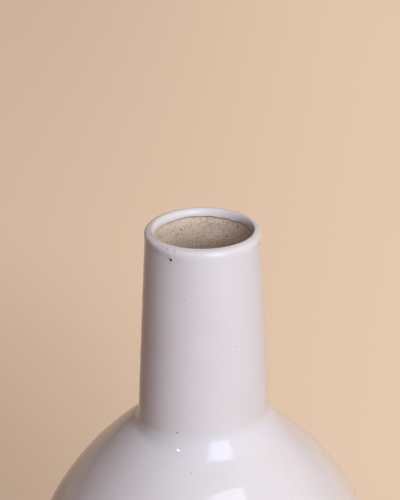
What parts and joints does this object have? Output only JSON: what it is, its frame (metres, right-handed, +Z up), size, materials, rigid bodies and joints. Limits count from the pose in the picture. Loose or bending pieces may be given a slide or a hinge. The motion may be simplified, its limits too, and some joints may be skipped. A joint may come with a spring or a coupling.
{
  "type": "bottle vase",
  "caption": "Round bottle vase in glazed stoneware: tall open neck luted onto an ovoid belly, glossy glaze over the outside and lip, bare clay inside, standing on a turned foot ring.",
  "frame": {"origin": "centre of the foot ring's flat resting face, on the vase's axis", "axes": "+Z up along the vase's axis of rotation, out of the mouth; the vase is round, and +X and +Y are level"},
  "size_m": [0.1494, 0.1494, 0.23],
  "materials": {
    "clay": "bare fired stoneware, matt and speckled",
    "slip": "bare fired slip, matt",
    "glaze": "glossy milky white glaze, pooled in the crease"
  },
  "bodies": {
    "root": {"belly": "clay", "neck": "clay", "neck_slip": "slip", "neck_coil": "clay", "foot_ring": "clay", "foot_slip": "slip", "glaze": "glaze"}
  },
  "joints": []
}
